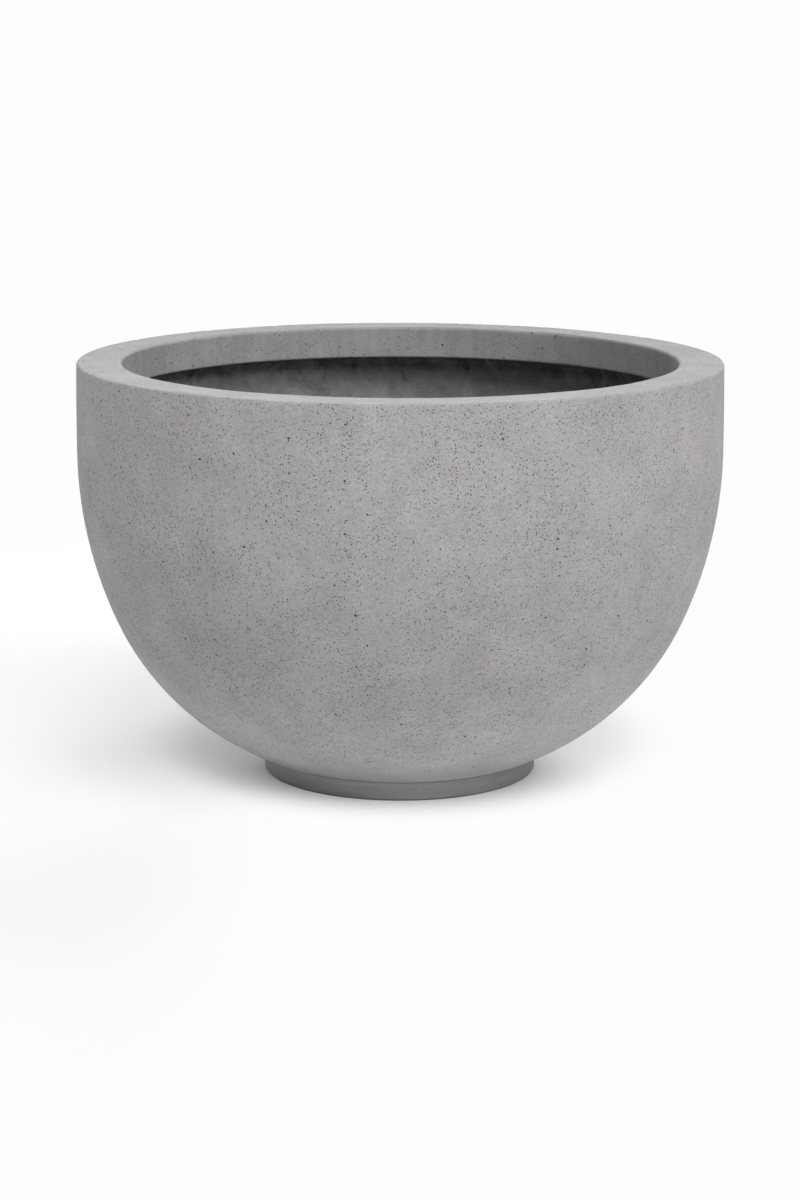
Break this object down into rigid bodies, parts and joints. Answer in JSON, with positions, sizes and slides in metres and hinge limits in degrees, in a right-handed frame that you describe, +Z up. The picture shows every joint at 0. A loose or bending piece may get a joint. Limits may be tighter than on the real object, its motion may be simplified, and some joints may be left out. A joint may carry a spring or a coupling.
{
  "type": "bowl planter",
  "caption": "Round concrete bowl planter with a wide flat rim, an inward lip, a fibre-lined inside, a low round foot and a plugged drain hole.",
  "frame": {"origin": "centre of the foot's underside, on the floor", "axes": "+Z up along the bowl's axis; +X and +Y are free, because the planter is round"},
  "size_m": [0.54, 0.54, 0.35],
  "materials": {
    "concrete": "matte, pinholed, as cast",
    "fibre_backing": "rough, hand-laid",
    "foot_concrete": "matte, smooth",
    "mortar": "rough",
    "rubber": "matte"
  },
  "bodies": {
    "planter": {"bowl_shell": "concrete", "rim_core": "mortar", "fibre_lining": "fibre_backing", "foot_ring": "foot_concrete", "foot_mortar": "mortar"},
    "plug": {"drain_plug": "rubber"}
  },
  "joints": [
    {"name": "plug_lift", "type": "slide", "parent": "planter", "child": "plug", "axis": [0, 0, 1], "range_m": [0, 0.36]}
  ]
}
